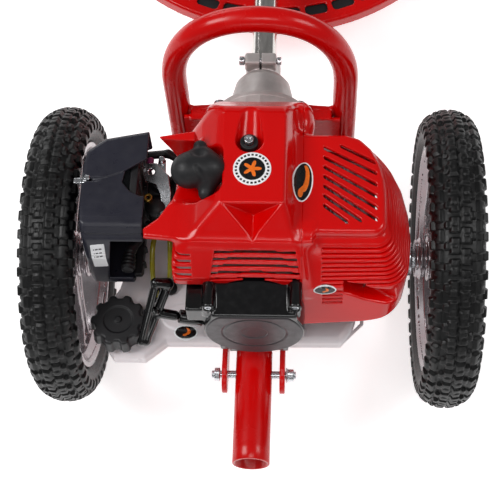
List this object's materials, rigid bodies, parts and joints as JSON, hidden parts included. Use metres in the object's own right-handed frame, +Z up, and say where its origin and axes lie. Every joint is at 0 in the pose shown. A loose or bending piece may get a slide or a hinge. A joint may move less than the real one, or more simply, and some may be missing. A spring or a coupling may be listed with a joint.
{
  "type": "rotary tiller",
  "caption": "Two-wheeled push tiller: small two-stroke engine on an axle between knobbly tyres, with a drive shaft to a guarded rotor of claw tines.",
  "frame": {"origin": "on the ground under the middle of the machine's box", "axes": "+Y forward along the drive shaft, +X to the machine's right, +Z up"},
  "size_m": [0.4726, 0.8298, 0.3693],
  "materials": {
    "red_paint": "glossy powder coat",
    "red_plastic": "glossy moulded ABS",
    "black_plastic": "satin moulded nylon",
    "grey_plastic": "satin dark grey moulding",
    "rubber": "matt",
    "tyre": "matt knobbly tread",
    "steel": "zinc plated",
    "chrome_tube": "polished tube",
    "aluminium": "die cast, bead blasted",
    "silver_paint": "silver lacquer",
    "dark_steel": "hardened, oiled",
    "tank_plastic": "natural milky polyethylene",
    "brass": "turned",
    "hose": "translucent fuel hose",
    "foam": "open-cell filter foam"
  },
  "bodies": {
    "chassis": {"axle_nut_left": "steel", "axle_nut_right": "steel", "axle_bar": "steel", "frame_hoop": "red_paint", "frame_base": "red_paint", "stem_bolt": "steel", "engine_plate": "red_paint", "crankcase": "aluminium", "cylinder_barrel": "aluminium", "piston": "aluminium", "fan_housing": "black_plastic", "clutch_housing": "aluminium", "shaft_clamp_bolt": "steel", "starter_housing": "black_plastic", "rope_guide": "black_plastic", "top_cover": "red_plastic", "muffler_cover": "red_plastic", "muffler": "dark_steel", "air_filter_cover": "grey_plastic", "air_filter_base": "black_plastic", "air_filter_element": "foam", "carburettor": "aluminium", "intake_insulator": "black_plastic", "spark_plug": "steel", "plug_boot": "rubber", "fuel_tank": "tank_plastic", "fuel_hose": "hose", "return_hose": "hose", "shaft_tube": "chrome_tube", "gear_head": "aluminium", "tool_guard": "red_paint", "guard_skirt": "rubber", "guard_bracket": "red_paint"},
    "wheel_left": {"tyre_left": "tyre", "rim_left": "silver_paint", "wheel_bearing_left": "steel"},
    "wheel_right": {"tyre_right": "tyre", "rim_right": "silver_paint", "wheel_bearing_right": "steel"},
    "handle": {"handle_stem": "red_paint"},
    "crank": {"crankshaft": "steel", "flywheel": "aluminium", "clutch_shoes": "dark_steel"},
    "drive": {"drive_shaft": "dark_steel", "clutch_drum": "dark_steel", "bevel_pinion": "steel"},
    "rotor": {"rotor_shaft": "steel", "rotor_hub": "dark_steel", "tine_1": "dark_steel", "tine_2": "dark_steel", "tine_3": "dark_steel", "tine_4": "dark_steel"},
    "starter_handle": {"starter_grip": "black_plastic", "starter_rope": "foam"},
    "pulley": {"rope_pulley": "grey_plastic"},
    "choke": {"choke_lever": "black_plastic"},
    "throttle": {"throttle_lever": "steel"},
    "cap": {"fuel_cap": "black_plastic"},
    "knob": {"cover_knob": "brass"}
  },
  "joints": [
    {"name": "wheel_left_spin", "type": "hinge", "parent": "chassis", "child": "wheel_left", "pos_m": [-0.201, -0.19971, 0.15], "axis": [1, 0, 0], "continuous": true},
    {"name": "wheel_right_spin", "type": "hinge", "parent": "chassis", "child": "wheel_right", "pos_m": [0.177, -0.19971, 0.15], "axis": [1, 0, 0], "continuous": true},
    {"name": "stem_tilt", "type": "hinge", "parent": "chassis", "child": "handle", "pos_m": [-0.012, -0.32231, 0.14703], "axis": [1, 0, 0], "range_deg": [-10, 10]},
    {"name": "crank_spin", "type": "hinge", "parent": "chassis", "child": "crank", "pos_m": [-0.008, -0.18857, 0.22922], "axis": [0, 0.9903, -0.1392], "continuous": true},
    {"name": "rotor_spin", "type": "hinge", "parent": "chassis", "child": "rotor", "pos_m": [-0.008, 0.30829, 0.08], "axis": [0, 0, 1], "continuous": true},
    {"name": "drive_spin", "type": "hinge", "parent": "chassis", "child": "drive", "pos_m": [-0.008, 0.00948, 0.20139], "axis": [0, 0.9903, -0.1392], "continuous": true},
    {"name": "starter_pull", "type": "slide", "parent": "chassis", "child": "starter_handle", "axis": [-0.9401, 0.0475, 0.3377], "range_m": [0, 0.06], "stiffness_N_per_m": 60},
    {"name": "pulley_turn", "type": "hinge", "parent": "chassis", "child": "pulley", "pos_m": [-0.008, -0.28958, 0.24342], "axis": [0, 0.9903, -0.1392], "range_deg": [-5, 150]},
    {"name": "choke_turn", "type": "hinge", "parent": "chassis", "child": "choke", "pos_m": [-0.112, -0.20132, 0.23909], "axis": [1, 0, 0], "range_deg": [-50, 0]},
    {"name": "throttle_turn", "type": "hinge", "parent": "chassis", "child": "throttle", "pos_m": [-0.1, -0.16206, 0.25983], "axis": [0, 0.1392, 0.9903], "range_deg": [-50, 0], "stiffness_Nm_per_rad": 0.05},
    {"name": "fuel_cap_turn", "type": "hinge", "parent": "chassis", "child": "cap", "pos_m": [-0.139, -0.2895, 0.20806], "axis": [0, 0.1392, 0.9903], "range_deg": [0, 270]},
    {"name": "cover_knob_turn", "type": "hinge", "parent": "chassis", "child": "knob", "pos_m": [-0.168, -0.17731, 0.25187], "axis": [1, 0, 0], "range_deg": [0, 270]}
  ],
  "couplings": [
    {"joint": "drive_spin", "follows": "rotor_spin", "ratio": 1.3333},
    {"joint": "pulley_turn", "follows": "starter_pull", "rad_per_m": 35.714}
  ]
}
